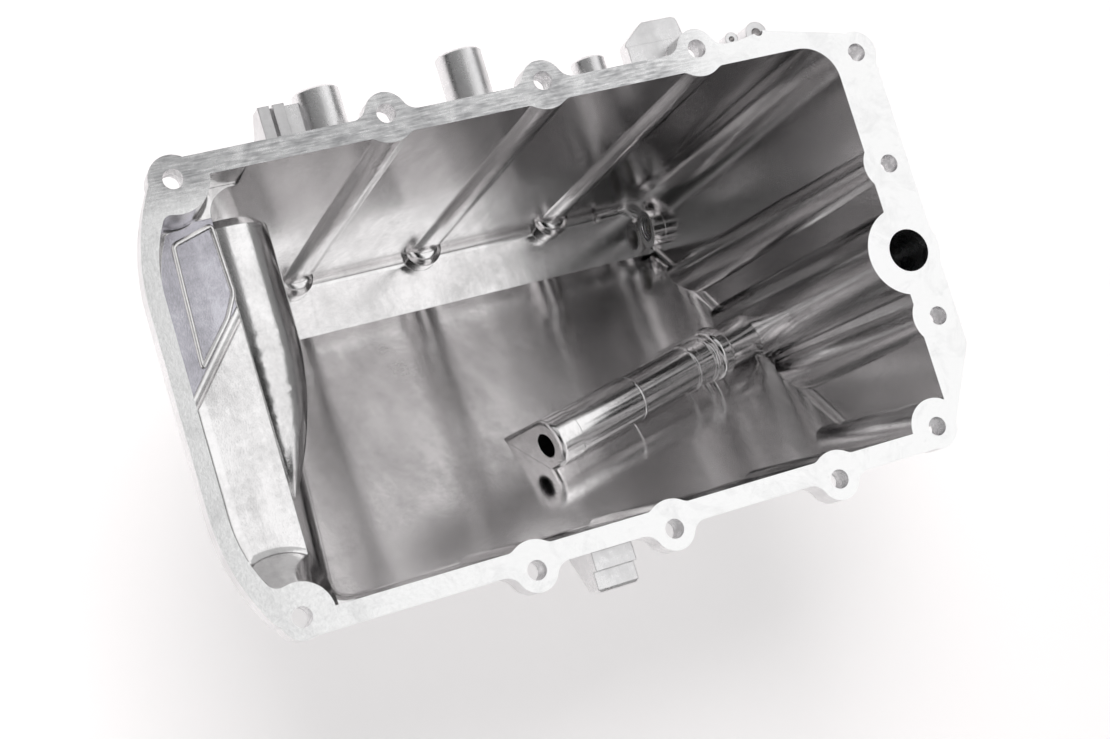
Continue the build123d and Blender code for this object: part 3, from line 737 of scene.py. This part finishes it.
def mirror_card(name, corner, across, up, shades):
    """Card that only the metal's reflections see. Its shade runs from shades[0] to shades[1] along across."""
    corner, across, up = Vector(corner), Vector(across), Vector(up)
    material, tree = new_material(name)
    place = node(tree, "ShaderNodeTexCoord").outputs["Object"]
    along = node(tree, "ShaderNodeVectorMath", {0: place, 1: across.normalized()},
                 operation="DOT_PRODUCT").outputs["Value"]
    start = corner.dot(across.normalized())
    shade = remap(tree, along, start, start + across.length, *shades)
    glow = node(tree, "ShaderNodeEmission", {"Color": (1, 1, 1, 1), "Strength": shade})
    node(tree, "ShaderNodeOutputMaterial", {"Surface": glow.outputs[0]})
    made = card(name, (corner, corner + across, corner + across + up, corner + up), material)
    made.visible_camera = made.visible_shadow = made.visible_diffuse = False


def seen_white(tree):
    """One for the rays that see the background or mirror it, and nought for those that light the pan."""
    rays = node(tree, "ShaderNodeLightPath").outputs
    return arithmetic(tree, "MAXIMUM", rays["Is Camera Ray"],
                      arithmetic(tree, "MAXIMUM", rays["Is Glossy Ray"], rays["Is Transmission Ray"]))


class OILPAN_OT_set_studio(bpy.types.Operator):
    """Makes the floor, the cards, the world, the lamp and the camera."""

    bl_idname = "oil_pan.set_studio"
    bl_label = "Set the studio"

    def execute(self, context):
        studio = context.scene.pan_studio
        scene = context.scene

        material, tree = new_material("studio_floor")
        glow = node(tree, "ShaderNodeEmission", {
            "Color": (1, 1, 1, 1), "Strength": times(tree, seen_white(tree), studio.floor_glow)})
        paint = node(tree, "ShaderNodeBsdfDiffuse", {"Color": colour(studio.floor_colour)})
        both = node(tree, "ShaderNodeAddShader", {0: glow.outputs[0], 1: paint.outputs[0]})
        node(tree, "ShaderNodeOutputMaterial", {"Surface": both.outputs[0]})
        side, level = studio.floor_width / 2, cad_box[0].z - FLOOR_GAP
        card("studio_floor", ((-side, -side, level), (side, -side, level), (side, side, level),
                              (-side, side, level)), material)
        for name, corner, across, up, shades in MIRROR_CARDS:
            mirror_card(name, corner, across, up, [getattr(studio, shade) for shade in shades])

        world = bpy.data.worlds.new("studio_world")
        scene.world = world
        world.use_nodes = True
        tree = world.node_tree
        tree.nodes.clear()
        strength = remap(tree, seen_white(tree), 0.0, 1.0, studio.sky_fill, 1.0)
        sky = node(tree, "ShaderNodeBackground", {"Color": (1, 1, 1, 1), "Strength": strength})
        node(tree, "ShaderNodeOutputWorld", {"Surface": sky.outputs[0]})

        area_lamp("softbox", studio.softbox_place, (0, 0, -0.1), studio.softbox_width, studio.softbox_power)

        data = bpy.data.cameras.new("camera")
        data.sensor_width = CAMERA_SENSOR
        data.lens = CAMERA_FOCAL_PIXELS / PHOTO_WIDTH * data.sensor_width
        data.clip_start, data.clip_end = 0.02, 50.0
        camera = bpy.data.objects.new("camera", data)
        axes = Matrix((CAMERA_RIGHT, CAMERA_UP, CAMERA_BACK)).transposed().to_4x4()
        camera.matrix_world = Matrix.Translation(CAMERA_PLACE) @ axes
        scene.collection.objects.link(camera)
        scene.camera = camera
        scene.view_settings.view_transform = "Standard"
        return {"FINISHED"}


OPERATORS = (OILPAN_OT_dress_casting, OILPAN_OT_dress_plugs, OILPAN_OT_cut_threads, OILPAN_OT_place_marks,
             OILPAN_OT_border_pad, OILPAN_OT_set_studio)


class OILPAN_PT_panel(bpy.types.Panel):
    """Lists the pan's finishes and the steps that make it."""

    bl_label = "Oil pan"
    bl_idname = "OILPAN_PT_panel"
    bl_space_type = "VIEW_3D"
    bl_region_type = "UI"
    bl_category = "Oil pan"

    def draw(self, context):
        for group in (context.scene.pan_finishes, context.scene.pan_details, context.scene.pan_studio):
            box = self.layout.box()
            for key in group.__annotations__:
                box.prop(group, key)
        for operator in OPERATORS:
            self.layout.operator(operator.bl_idname)


CLASSES = (PanFinishes, DetailSizes, StudioSizes, *OPERATORS, OILPAN_PT_panel)


def register():
    for made in CLASSES:
        bpy.utils.register_class(made)
    bpy.types.Scene.pan_finishes = bpy.props.PointerProperty(type=PanFinishes)
    bpy.types.Scene.pan_details = bpy.props.PointerProperty(type=DetailSizes)
    bpy.types.Scene.pan_studio = bpy.props.PointerProperty(type=StudioSizes)


def unregister():
    del bpy.types.Scene.pan_studio
    del bpy.types.Scene.pan_details
    del bpy.types.Scene.pan_finishes
    for made in reversed(CLASSES):
        bpy.utils.unregister_class(made)


def main():
    register()
    for operator in OPERATORS:
        group, action = operator.bl_idname.split(".")
        getattr(getattr(bpy.ops, group), action)()


if __name__ == "__main__":
    main()
